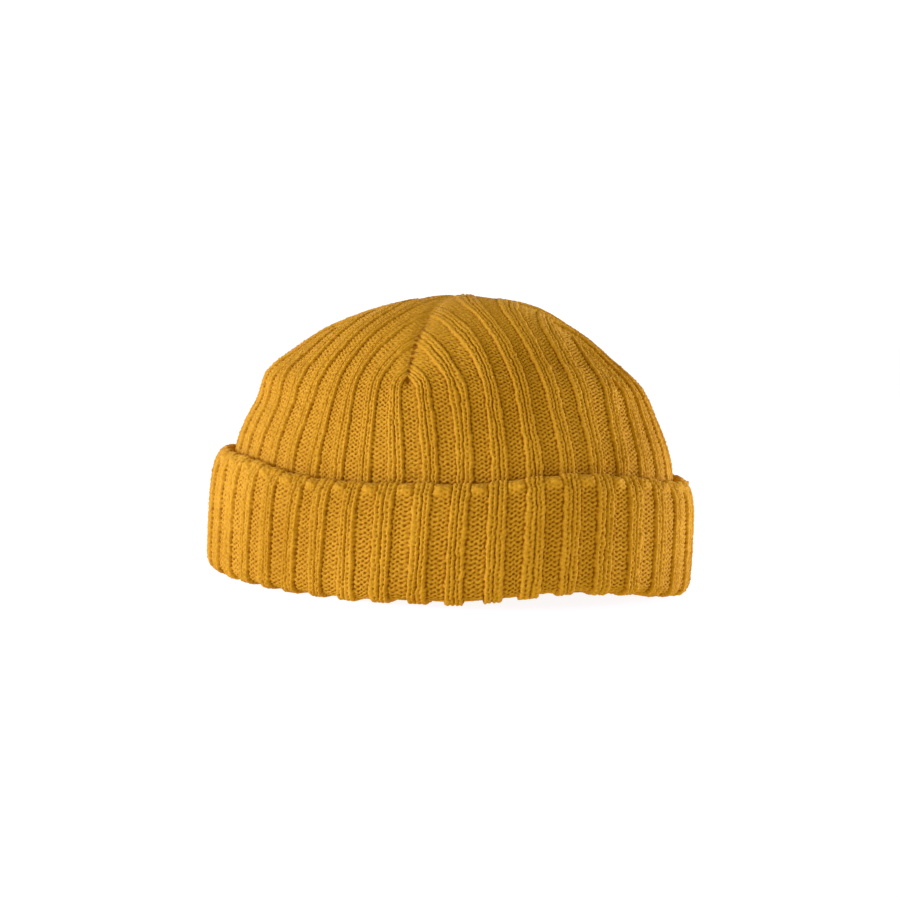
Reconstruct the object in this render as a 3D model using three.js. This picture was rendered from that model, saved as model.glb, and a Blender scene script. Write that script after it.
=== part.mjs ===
// Rib-knit beanie with a turned-up cuff. Millimetres, +Z up, standing on z = 0.
// Seen from above the cap is an ellipse, long along X, as a head is.
import * as THREE from 'three';

// Whole cap
const cuffHalfLength = 108.6;
const cuffHalfWidth = 88;
const crownHeight = 120.5;

// Turned-up cuff
const cuffHeight = 46.6;
const cuffStandOff = 10.3;
const hemHeight = 5;
const pieceGap = 0.3;

// Knit
const knitThickness = 4.6;
const ribCount = 42;
const ribRelief = 1.6;
const ribPhase = 0.07;

// Darts that draw the top in
const dartCount = 6;
const dartDepth = 2.6;
const dartWidth = 0.8;
const dartPuff = 1.4;
const firstDart = 5.5;

// How the crown hangs off its plain form: the rib that faces front, how much the ribs
// spread away from it higher up, and how far the top leans
const frontRib = 37;
const frontSpread = 0.1;
const topLean = new THREE.Vector2(2.1, 1.3);

// Colour of the yarn
const yarnColour = 0xc08a22;

// Crown from the hem up: height as a share of the crown's height above the cuff's rim
// or, with a minus, of the cuff's height below it, radius as a share of the crown's
// plan at the cuff, ribs left in half a gore, and how far the row follows the hem's lift.
const crownRows = [
  { name: 'in_hem', height: -1, radius: 1, ribs: 3.5, follow: 1 },
  { name: 'in_cuff', height: -0.3, radius: 1, ribs: 3.5, follow: 1 },
  { name: 'cuff_rim', height: 0.03, radius: 1, ribs: 3.5, follow: 0.9 },
  { name: 'low_side', height: 0.15, radius: 0.98, ribs: 3.5, follow: 0.75 },
  { name: 'side', height: 0.27, radius: 0.943, ribs: 3.5, follow: 0.6 },
  { name: 'high_side', height: 0.39, radius: 0.9, ribs: 3.5, follow: 0.4 },
  { name: 'dart_tip', height: 0.52, radius: 0.845, ribs: 3.5, follow: 0.25 },
  { name: 'shoulder', height: 0.61, radius: 0.782, ribs: 3, follow: 0.1 },
  { name: 'turn', height: 0.695, radius: 0.706, ribs: 2.5, follow: 0 },
  { name: 'slope', height: 0.78, radius: 0.612, ribs: 2, follow: 0 },
  { name: 'high_slope', height: 0.86, radius: 0.485, ribs: 1.5, follow: 0 },
  { name: 'top_ring', height: 0.92, radius: 0.36, ribs: 1, follow: 0 },
  { name: 'near_top', height: 0.965, radius: 0.235, ribs: 0.5, follow: 0 },
];
const dartTip = crownRows.find((row) => row.name === 'dart_tip');

// Outer face of the cuff: height as a share of its height, inset as a share of its
// stand-off, and how much of the rib relief shows there.
const cuffRows = [
  { name: 'foot', height: 0, inset: 0.5, relief: 0 },
  { name: 'foot_turn', height: 0.045, inset: 0.19, relief: 0.6 },
  { name: 'low', height: 0.16, inset: 0, relief: 1 },
  { name: 'belly', height: 0.45, inset: 0, relief: 1 },
  { name: 'high', height: 0.84, inset: 0.14, relief: 1 },
  { name: 'rim_turn', height: 0.94, inset: 0.24, relief: 0.8 },
  { name: 'rim', height: 1, inset: 0.48, relief: 0.3 },
  { name: 'rim_inside', height: 0.965, inset: 0.78, relief: 0 },
];

// Waves of the hem: angle from +X seen from above, lift as a share of the cuff's height.
const hemWaves = [
  { name: 'right_back', angle: 0, lift: 0.075 },
  { name: 'rests_right', angle: 45, lift: 0 },
  { name: 'back', angle: 105, lift: 0.06 },
  { name: 'rests_back', angle: 165, lift: 0 },
  { name: 'left', angle: 212, lift: 0.08 },
  { name: 'rests_front', angle: 270, lift: 0 },
  { name: 'front', angle: 330, lift: 0.115 },
];
const hemFlat = 0.006;

// Plan of the cuff's outside, walked at an even pace: share 0 to 1 from +X
function makePlan(steps) {
  const walked = [0];
  const ellipse = (t) => new THREE.Vector2(cuffHalfLength * Math.cos(t), cuffHalfWidth * Math.sin(t));
  for (let i = 1; i <= steps; i += 1) {
    const from = ellipse((2 * Math.PI * (i - 1)) / steps);
    const to = ellipse((2 * Math.PI * i) / steps);
    walked.push(walked[i - 1] + from.distanceTo(to));
  }
  return (share) => {
    const goal = (share - Math.floor(share)) * walked[steps];
    let low = 0;
    let high = steps;
    while (high - low > 1) {
      const middle = (low + high) >> 1;
      if (walked[middle] <= goal) low = middle;
      else high = middle;
    }
    const part = (goal - walked[low]) / (walked[high] - walked[low]);
    const t = (2 * Math.PI * (low + part)) / steps;
    const outward = new THREE.Vector2(cuffHalfWidth * Math.cos(t), cuffHalfLength * Math.sin(t));
    return { at: ellipse(t), outward: outward.normalize() };
  };
}

const planAt = makePlan(720);

// Lift of the hem above the table at a share of the way round
function hemLift(share) {
  const { at } = planAt(share);
  const angle = (THREE.MathUtils.radToDeg(Math.atan2(at.y, at.x)) + 360) % 360;
  const next = hemWaves.findIndex((row) => row.angle > angle);
  const after = next < 0 ? hemWaves[0] : hemWaves[next];
  const before = next < 0 ? hemWaves[hemWaves.length - 1] : hemWaves[next - 1];
  const span = (after.angle - before.angle + 360) % 360;
  const ease = THREE.MathUtils.smoothstep((angle - before.angle) / span, 0, 1);
  const lift = THREE.MathUtils.lerp(before.lift, after.lift, ease);
  return Math.max(0, lift - hemFlat) * cuffHeight;
}

// Columns of one rib, in ribs from the middle of its raised band
const ribColumns = [
  { name: 'valley_left', at: -0.27, raised: 0 },
  { name: 'band_left', at: -0.17, raised: 1 },
  { name: 'band_right', at: 0.17, raised: 1 },
  { name: 'valley_right', at: 0.27, raised: 0 },
];

// A closed body made of rings of points that are zipped to each other
function makeShell() {
  const points = [];
  const faces = [];
  const ring = (columns) => columns.map(({ at, point }) => {
    points.push(point);
    return { at, index: points.length - 1 };
  });
  const face = (a, b, c) => {
    faces.push(a, b, c);
  };
  // Joins two runs of points, each sorted by "at", the second one above or inside
  const zip = (lower, upper) => {
    let i = 0;
    let j = 0;
    while (i < lower.length - 1 || j < upper.length - 1) {
      const stepUpper = i === lower.length - 1
        || (j < upper.length - 1 && upper[j + 1].at <= lower[i + 1].at);
      if (stepUpper) {
        face(lower[i].index, upper[j + 1].index, upper[j].index);
        j += 1;
      } else {
        face(lower[i].index, lower[i + 1].index, upper[j].index);
        i += 1;
      }
    }
  };
  const around = (run) => [...run, { at: run[0].at + ribCount, index: run[0].index }];
  const zipRings = (lower, upper) => zip(around(lower), around(upper));
  const cap = (run, point, turned) => {
    points.push(point);
    const tip = points.length - 1;
    around(run).slice(1).forEach((end, k) => {
      if (turned) face(end.index, run[k].index, tip);
      else face(run[k].index, end.index, tip);
    });
  };
  const geometry = () => {
    const made = new THREE.BufferGeometry();
    made.setAttribute('position', new THREE.Float32BufferAttribute(points.flatMap((p) => [p.x, p.y, p.z]), 3));
    made.setIndex(faces);
    made.computeVertexNormals();
    return made;
  };
  return { ring, zip, zipRings, cap, geometry };
}

function yarn() {
  return new THREE.MeshStandardMaterial({ color: yarnColour, roughness: 0.95, metalness: 0 });
}

// Cuff: a point on its plan, inset inward and at a height
function cuffPoint(at, inset, height) {
  const share = (at + ribPhase) / ribCount;
  const plan = planAt(share);
  const spot = plan.at.addScaledVector(plan.outward, -inset);
  return new THREE.Vector3(spot.x, spot.y, height + hemLift(share));
}

function makeCuff() {
  const shell = makeShell();
  const ribs = [...Array(ribCount).keys()];
  const ribbed = (row) => shell.ring(ribs.flatMap((rib) => ribColumns.map((column) => {
    const inset = row.inset * cuffStandOff + (1 - column.raised) * row.relief * ribRelief;
    return { at: rib + column.at, point: cuffPoint(rib + column.at, inset, row.height * cuffHeight) };
  })));
  const band = ribColumns.filter((column) => column.raised === 1);
  const smooth = (inset, height) => shell.ring(ribs.flatMap((rib) => band.map((column) => (
    { at: rib + column.at, point: cuffPoint(rib + column.at, inset, height) }
  ))));
  const innerInset = cuffStandOff - pieceGap;
  const hemInset = cuffStandOff + knitThickness;
  const rings = [
    smooth(hemInset, 0),
    ...cuffRows.map(ribbed),
    smooth(innerInset, cuffHeight * 0.9),
    smooth(innerInset, hemHeight),
    smooth(hemInset, hemHeight),
  ];
  rings.forEach((run, k) => shell.zipRings(run, rings[(k + 1) % rings.length]));
  const cuff = new THREE.Mesh(shell.geometry(), yarn());
  cuff.name = 'cuff';
  return cuff;
}

// Crown: height and slope of each row worked out from the table
const crownFoot = hemHeight + pieceGap;

function rowHeight(row) {
  if (row.height < 0) return THREE.MathUtils.lerp(cuffHeight, crownFoot, -row.height);
  return THREE.MathUtils.lerp(cuffHeight, crownHeight, row.height);
}

function rowSlope(k) {
  const below = crownRows[Math.max(0, k - 1)];
  const above = crownRows[Math.min(crownRows.length - 1, k + 1)];
  const drawnIn = (below.radius - above.radius) * (cuffHalfLength - cuffStandOff);
  return new THREE.Vector2(rowHeight(above) - rowHeight(below), drawnIn).normalize();
}

// A point of the crown, at a share of the way round, sunk below the row's surface
function crownPoint(share, row, slope, sunk) {
  const rise = Math.max(0, row.height);
  const fromFront = 2 * Math.PI * (share - (frontRib + ribPhase) / ribCount);
  const spread = frontSpread * THREE.MathUtils.smoothstep(rise, 0, dartTip.height);
  const plan = planAt(share + (spread * Math.sin(fromFront)) / (2 * Math.PI));
  const spot = plan.at.clone().addScaledVector(plan.outward, -cuffStandOff).multiplyScalar(row.radius);
  spot.addScaledVector(topLean, rise * rise);
  spot.addScaledVector(plan.outward, -sunk * slope.x);
  const lift = row.follow * hemLift(share);
  return new THREE.Vector3(spot.x, spot.y, rowHeight(row) + lift - sunk * slope.y);
}

// Columns of one gore that are left at a row: the darts swallow the outer ones
function goreColumns(row) {
  const half = ribCount / dartCount / 2;
  const columns = [];
  for (let rib = -Math.floor(half); rib <= Math.floor(half); rib += 1) {
    ribColumns.forEach((column) => columns.push({ at: rib + column.at, raised: column.raised }));
  }
  const left = columns.filter((column) => Math.abs(column.at) < row.ribs - 0.05);
  return [{ at: -row.ribs, raised: 0, dart: true }, ...left];
}

function crownRing(shell, row, k) {
  const goreRibs = ribCount / dartCount;
  const gores = [...Array(dartCount).keys()];
  const drawn = THREE.MathUtils.smoothstep(-row.ribs, -goreRibs / 2, -goreRibs / 2 + 1);
  return gores.map((gore) => shell.ring(goreColumns(row).map((column) => {
    const share = (gore + 0.5 + column.at / row.ribs / 2) / dartCount + (ribPhase + firstDart) / ribCount;
    const reach = (row.ribs - Math.abs(column.at)) / dartWidth;
    const offTip = (row.height - dartTip.height) / 0.1;
    const puffed = dartPuff * Math.exp(-reach * reach / 4 - offTip * offTip);
    const pulled = drawn * dartDepth * Math.exp(-reach * reach) - puffed;
    const sunk = (1 - column.raised) * ribRelief + pulled;
    return { at: column.at, point: crownPoint(share, row, rowSlope(k), sunk) };
  })));
}

// The gore's run of points, closed with the first point of the next gore
function goreRun(row, gores, gore) {
  const next = gores[(gore + 1) % dartCount];
  return [...gores[gore], { at: row.ribs, index: next[0].index }];
}

function makeCrown() {
  const shell = makeShell();
  const outer = crownRows.map((row, k) => crownRing(shell, row, k));
  for (let k = 0; k + 1 < crownRows.length; k += 1) {
    for (let gore = 0; gore < dartCount; gore += 1) {
      shell.zip(goreRun(crownRows[k], outer[k], gore), goreRun(crownRows[k + 1], outer[k + 1], gore));
    }
  }
  const goreRibs = ribCount / dartCount;
  const flatten = (gores, row) => gores.flatMap((run, gore) => run.map(({ at, index }) => (
    { at: (gore + 0.5 + at / row.ribs / 2) * goreRibs, index }
  )));
  const top = crownRows[crownRows.length - 1];
  const tip = new THREE.Vector3(topLean.x, topLean.y, crownHeight - ribRelief);
  shell.cap(flatten(outer[crownRows.length - 1], top), tip, false);

  const insideRows = crownRows.filter((row) => row.name !== 'in_cuff' && row.name !== 'near_top');
  const inside = insideRows.map((row) => {
    const slope = rowSlope(crownRows.indexOf(row));
    return shell.ring([...Array(ribCount).keys()].map((rib) => {
      const share = (rib + ribPhase + firstDart) / ribCount;
      return { at: rib, point: crownPoint(share, row, slope, knitThickness) };
    }));
  });
  shell.zipRings(inside[0], flatten(outer[0], crownRows[0]));
  for (let k = 0; k + 1 < inside.length; k += 1) shell.zipRings(inside[k + 1], inside[k]);
  const underTip = tip.clone().setZ(tip.z - knitThickness);
  shell.cap(inside[inside.length - 1], underTip, true);
  const crown = new THREE.Mesh(shell.geometry(), yarn());
  crown.name = 'crown';
  return crown;
}

const beanie = new THREE.Group();
beanie.add(makeCrown(), makeCuff());

export default beanie;
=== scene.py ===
# Rib-knit beanie with a turned-up cuff, dressed over the CAD frame. Metres, +Z up.
import math
import bpy
import numpy as np
from mathutils import Matrix, Vector


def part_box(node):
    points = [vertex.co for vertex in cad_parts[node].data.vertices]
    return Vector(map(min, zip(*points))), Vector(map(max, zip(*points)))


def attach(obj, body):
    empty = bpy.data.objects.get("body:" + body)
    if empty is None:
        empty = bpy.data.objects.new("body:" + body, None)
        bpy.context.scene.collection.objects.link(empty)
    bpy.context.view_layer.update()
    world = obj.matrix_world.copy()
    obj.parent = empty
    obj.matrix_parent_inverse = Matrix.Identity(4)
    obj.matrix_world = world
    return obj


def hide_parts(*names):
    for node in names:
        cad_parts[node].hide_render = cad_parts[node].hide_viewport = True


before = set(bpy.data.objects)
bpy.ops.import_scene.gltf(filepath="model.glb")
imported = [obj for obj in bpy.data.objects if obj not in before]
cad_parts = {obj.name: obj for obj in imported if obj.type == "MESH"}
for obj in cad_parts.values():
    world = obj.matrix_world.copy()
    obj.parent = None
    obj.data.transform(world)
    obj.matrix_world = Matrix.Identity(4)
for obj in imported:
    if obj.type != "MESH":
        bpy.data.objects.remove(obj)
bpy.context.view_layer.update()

mm = 0.001

# The knit: both pieces are the same cloth
knit = {
    "ribs": 42,
    "walesPerRib": 4,
    "columnsPerWale": 8,
    "rowsPerCourse": 4,
    "course": 1.87 * mm,
    "thickness": 4.4 * mm,
    "ribRelief": 0.6 * mm,
}
ribColumns = knit["columnsPerWale"] * knit["walesPerRib"]  # columns of points in a rib
around = knit["ribs"] * ribColumns  # columns of points all the way round
coarse = 8  # raised columns to one column of the hidden side

# The turned-up cuff. Rows run from under the hem up the outside and in over the rim: share
# of the cuff's height, share of the stand-off that the row is inset, how much of the rib
# shows, how much of the stitches. The hidden rows come down behind the rim, and hiddenAt
# says beside which share of the outside each of them lies.
cuff = {
    "standOff": 10.3 * mm,
    "height": 46.6 * mm,
    "hem": 5.0 * mm,
    "ribPhase": 0.12,
    "sectors": 3,
    "hemFlat": 0.006,
    "footLean": (-1.1 * mm, -0.65 * mm),
    "gap": 0.3 * mm,
    "hiddenRows": (0.86, 0.5),
    "hiddenFoot": 1.1,
    "hiddenAt": (0.97, 0.7, 0.35, 0.2),
    "hiddenCourses": 6.0,
    # painted shade on the hidden side, which lies in shade
    "hiddenPaintedShade": 0.2,
    "rimBlobs": 0.955,
    "rimReach": 2.2 * mm,
    "curveSteps": 600,
    "rows": [
        (0.11, 1.43, 0.2, 0.4),
        (0.04, 1.41, 0.5, 0.5),
        (0.0, 1.28, 1.0, 0.6),
        (0.0, 0.9, 1.5, 0.8),
        (0.0, 0.45, 1.7, 0.8),
        (0.025, 0.17, 1.6, 1.0),
        (0.075, 0.03, 1.2, 1.0),
        (0.17, 0.0, 1.0, 1.0),
        (0.45, 0.0, 1.0, 1.0),
        (0.70, 0.04, 1.0, 1.0),
        (0.85, 0.13, 1.0, 1.0),
        (0.93, 0.26, 0.9, 1.0),
        (0.98, 0.44, 0.6, 0.9),
        (1.0, 0.64, 0.4, 0.8),
        (0.985, 0.82, 0.2, 0.7),
        (0.945, 0.95, 0.0, 0.4),
    ],
}

# Where the hem rests and where it lifts: angle from +X, lift as a share of the height
hemWaves = [(0, 0.045), (12, 0), (105, 0.06), (165, 0), (212, 0.015), (270, 0), (300, 0.035),
            (333, 0.142), (346, 0.112)]

# Where the cuff stands taller than the rest, as the hemWaves table
rimWaves = [(0, 0), (45, 0), (165, 0), (200, 0.11), (225, 0.1), (265, 0), (330, 0)]

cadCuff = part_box("cuff")
halfLength = (cadCuff[1][0] - cadCuff[0][0]) / 2
halfWidth = (cadCuff[1][1] - cadCuff[0][1]) / 2

# Plan of the cuff's outside, walked at an even pace
planSteps = 2880
planTurn = np.linspace(0, 2 * math.pi, planSteps + 1)
planX = halfLength * np.cos(planTurn)
planY = halfWidth * np.sin(planTurn)
planWalked = np.concatenate([[0], np.cumsum(np.hypot(np.diff(planX), np.diff(planY)))])
planWalked /= planWalked[-1]


def planAt(share):
    turn = np.interp(share % 1.0, planWalked, planTurn)
    x = halfLength * np.cos(turn)
    y = halfWidth * np.sin(turn)
    outX = halfWidth * np.cos(turn)
    outY = halfLength * np.sin(turn)
    size = np.hypot(outX, outY)
    return x, y, outX / size, outY / size


def waveAt(waves, share):
    x, y, _, _ = planAt(share)
    angle = np.degrees(np.arctan2(y, x)) % 360
    rows = waves + [(waves[0][0] + 360, waves[0][1])]
    lift = np.zeros_like(angle)
    for (fromAngle, fromLift), (toAngle, toLift) in zip(rows[:-1], rows[1:]):
        t = np.clip((angle - fromAngle) / (toAngle - fromAngle), 0, 1)
        here = (angle >= fromAngle) & (angle < toAngle)
        eased = fromLift + (toLift - fromLift) * t * t * (3 - 2 * t)
        lift = np.where(here, eased, lift)
    return lift


def hemLift(share):
    return np.maximum(0, waveAt(hemWaves, share) - cuff["hemFlat"]) * cuff["height"]


# Hand of the cloth: waves that shift a spot sideways, so that no rib is straight, and a few
# ribs that are pulled to one side. Shifts are in ribs, fewest and most are waves all round.
hand = {
    "seed": 11,
    "waves": 14,
    "fewest": 4,
    "most": 64,
    "climb": 9 * mm,
    "shift": 0.006,
    "pulledAt": 32.4,
    "pulledReach": 1.8,
    "pulledShift": -0.1,
}
handRandom = np.random.default_rng(hand["seed"])
handWaves = []
for _ in range(hand["waves"]):
    waveTurns = handRandom.integers(hand["fewest"], hand["most"])
    waveClimb = handRandom.uniform(-1, 1) / hand["climb"]
    handWaves.append((waveTurns, waveClimb, handRandom.uniform(0, 2 * math.pi)))


def wobble(share, upright):
    total = sum(np.sin(2 * math.pi * turns * share + climb * upright + start)
                for turns, climb, start in handWaves)
    offPulled = (share % 1.0 * knit["ribs"] - hand["pulledAt"]) / hand["pulledReach"]
    return (hand["shift"] * total + hand["pulledShift"] * np.exp(-offPulled ** 2)) / knit["ribs"]


# A smooth curve through the rows of a table, one column at a time
def smoothColumns(table, count):
    rows = np.array(table, float)
    at = np.arange(len(rows), dtype=float)
    where = np.linspace(0, len(rows) - 1, count)
    step = np.clip(np.floor(where).astype(int), 0, len(rows) - 2)
    t = (where - at[step])[:, None]
    padded = np.vstack([2 * rows[0] - rows[1], rows, 2 * rows[-1] - rows[-2]])
    p0, p1, p2, p3 = (padded[step + k] for k in range(4))
    bend = (p2 - p0) * t + (2 * p0 - 5 * p1 + 4 * p2 - p3) * t * t + (3 * p1 - p0 - 3 * p2 + p3) * t ** 3
    return p1 + bend / 2


# Rows of a curve, spaced evenly along the cloth
def evenRows(curve, radial, upright, spacing):
    walked = np.concatenate([[0], np.cumsum(np.hypot(np.diff(radial), np.diff(upright)))])
    count = max(2, int(round(walked[-1] / spacing)) + 1)
    where = np.linspace(0, walked[-1], count)
    return np.stack([np.interp(where, walked, curve[:, k]) for k in range(curve.shape[1])], 1)


def slopes(radial, upright):
    dr = np.gradient(radial)
    dz = np.gradient(upright)
    size = np.hypot(dr, dz)
    return dz / size, -dr / size


def makeMesh(name, points, faces, attributes):
    mesh = bpy.data.meshes.new(name)
    triangles = faces[:, 3] < 0
    quads = faces[~triangles]
    tris = faces[triangles][:, :3]
    mesh.vertices.add(len(points))
    mesh.vertices.foreach_set("co", points.astype(np.float32).ravel())
    loops = np.concatenate([quads.ravel(), tris.ravel()])
    starts = np.concatenate([np.arange(len(quads)) * 4, len(quads) * 4 + np.arange(len(tris)) * 3])
    mesh.loops.add(len(loops))
    mesh.loops.foreach_set("vertex_index", loops.astype(np.int32))
    mesh.polygons.add(len(starts))
    mesh.polygons.foreach_set("loop_start", starts.astype(np.int32))
    mesh.update(calc_edges=True)
    for key, values in attributes.items():
        vector = values.ndim == 2
        layer = mesh.attributes.new(key, "FLOAT_VECTOR" if vector else "FLOAT", "POINT")
        layer.data.foreach_set("vector" if vector else "value", values.astype(np.float32).ravel())
    return mesh


# Small helper that writes sums as nodes, for the relief tree and the materials
class Sum:
    def __init__(self, tree, socket):
        self.tree = tree
        self.socket = socket

    def op(self, name, *others):
        node = self.tree.nodes.new("ShaderNodeMath")
        node.operation = name
        for k, value in enumerate((self,) + others):
            if isinstance(value, Sum):
                self.tree.links.new(value.socket, node.inputs[k])
            else:
                node.inputs[k].default_value = value
        return Sum(self.tree, node.outputs[0])

    def flip(self, name, other):
        node = self.tree.nodes.new("ShaderNodeMath")
        node.operation = name
        node.inputs[0].default_value = other
        self.tree.links.new(self.socket, node.inputs[1])
        return Sum(self.tree, node.outputs[0])

    def __add__(self, other):
        return self.op("ADD", other)

    def __radd__(self, other):
        return self.op("ADD", other)

    def __sub__(self, other):
        return self.op("SUBTRACT", other)

    def __rsub__(self, other):
        return self.flip("SUBTRACT", other)

    def __mul__(self, other):
        return self.op("MULTIPLY", other)

    def __rmul__(self, other):
        return self.op("MULTIPLY", other)

    def __truediv__(self, other):
        return self.op("DIVIDE", other)

    def abs(self):
        return self.op("ABSOLUTE")

    def cos(self):
        return self.op("COSINE")

    def power(self, other):
        return self.op("POWER", other)

    def highest(self, other):
        return self.op("MAXIMUM", other)

    def wrap(self, high, low):
        return self.op("WRAP", high, low)

    def wave(self):
        return 0.5 + 0.5 * (self * (2 * math.pi)).cos()

    def bell(self, width):
        return ((self / width) * (self / width) * -1.0).op("EXPONENT")

    def ramp(self, low, high):
        node = self.tree.nodes.new("ShaderNodeMapRange")
        node.interpolation_type = "SMOOTHSTEP"
        node.inputs["From Min"].default_value = low
        node.inputs["From Max"].default_value = high
        self.tree.links.new(self.socket, node.inputs["Value"])
        return Sum(self.tree, node.outputs["Result"])


# Where things lie in a rib, in wales from the middle of its raised band, how wide they are
# and how sharply they are cut
stitch = {
    "bandEdge": (0.93, 1.03),
    "waleMiddle": 0.47,
    "strandMiddle": 0.235,
    "strandNarrow": 4.1,
    "strandRound": 0.6,
    "notchSlant": 1.5,
    "notchSharp": 3.0,
    "betweenWidth": 0.08,
    "grooveWidth": 0.09,
    "purlTurn": 0.86,
    "purlSlant": 0.25,
    "holeSharp": 1.3,
    "holeFade": (1.05, 1.4),
    "edgeAt": 1.04,
    "edgeWidth": 0.07,
    "domeWidth": 0.97,
    "domeRound": 0.6,
}

# Painted shade: how much darker the yarn is painted down in each of them, in a seam and between the
# rim's lumps
shade = {
    "cord": 0.35,
    "notch": 0.35,
    "groove": 0.6,
    "between": 0.5,
    "hole": 1.3,
    "edge": 0.85,
    "seamShade": 1.1,
    "rim": 0.5,
}


# Height of the stitches: wale and course are counted from the middle of a raised band.
# Returns the height, the painted shade of the spot, from 0 on top to 1 down in the
# cloth, where the raised bands are and where the purl panels crown.
def stitchHeight(wale, course, size):
    across = wale.wrap(2.0, -2.0).abs()
    band = 1.0 - across.ramp(*stitch["bandEdge"])
    inWale = (across - stitch["waleMiddle"]).abs()
    cord = 1.0 - ((inWale - stitch["strandMiddle"]) * stitch["strandNarrow"]).power(2.0)
    cord = cord.highest(0.0).power(stitch["strandRound"])
    notch = (course - inWale * stitch["notchSlant"]).wave().power(stitch["notchSharp"])
    between = inWale.bell(stitch["betweenWidth"]) * (0.35 + 0.65 * course.wave())
    groove = across.bell(stitch["grooveWidth"])
    knitHeight = cord * size["cordDepth"] - notch * size["notchDepth"]
    knitHeight = knitHeight - groove * size["grooveDepth"] - between * size["betweenDepth"]
    turn = ((across - 2.0) * (2 * math.pi / stitch["purlTurn"])).cos()
    gap = 1.0 - (course - turn * stitch["purlSlant"]).wave()
    hole = gap.power(stitch["holeSharp"]) * (0.4 + 0.6 * turn * turn)
    hole = hole * (0.5 + 0.5 * across.ramp(*stitch["holeFade"]))
    edge = (across - stitch["edgeAt"]).bell(stitch["edgeWidth"])
    purlHeight = hole * size["purlDepth"] * -1.0 - edge * size["panelEdge"]
    height = band * knitHeight + (1.0 - band) * purlHeight
    # Painted shade: the yarn is painted darker off the cord tops, in the notches, grooves and gaps
    # between strands, in the purl holes and along the panel edges, where shade falls
    knitPaintedShade = (1.0 - cord) * shade["cord"] + notch * shade["notch"]
    knitPaintedShade = knitPaintedShade + groove * shade["groove"] + between * shade["between"]
    purlPaintedShade = hole * shade["hole"] + edge * shade["edge"]
    paintedShade = band * knitPaintedShade + (1.0 - band) * purlPaintedShade
    dome = 1.0 - ((across - 2.0) / stitch["domeWidth"]).power(2.0)
    dome = dome.highest(0.0).power(stitch["domeRound"])
    return height, paintedShade, band, dome


# What the stitches stand up by and how far they stray, in wales and courses: the inputs of
# the relief tree
relief = {
    "cordDepth": 0.55 * mm,
    "grooveDepth": 0.8 * mm,
    "betweenDepth": 0.4 * mm,
    "notchDepth": 0.35 * mm,
    "purlDepth": 1.05 * mm,
    "panelEdge": 0.5 * mm,
    "strayAcross": 0.3,
    "strayUp": 0.4,
    "rimBulge": 1.7 * mm,
    "unevenness": 0.4 * mm,
    "fineUnevenness": 0.6 * mm,
    "seed": 7.0,
}

# Scales of the relief tree's noises, one over metres
noiseScale = {
    "across": 330,
    "up": 300,
    "uneven": 150,
    "fineUneven": 700,
    "rim": 420,
}

# The rim's lumps: how far noise mixes into them, the level that doesn't stand out, and how
# much of the purl stitches and of their painted shade they take away
rimLumps = {
    "noise": 0.7,
    "level": 0.3,
    "stitchLoss": 0.45,
    "paintedShadeLoss": 0.85,
}


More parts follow.
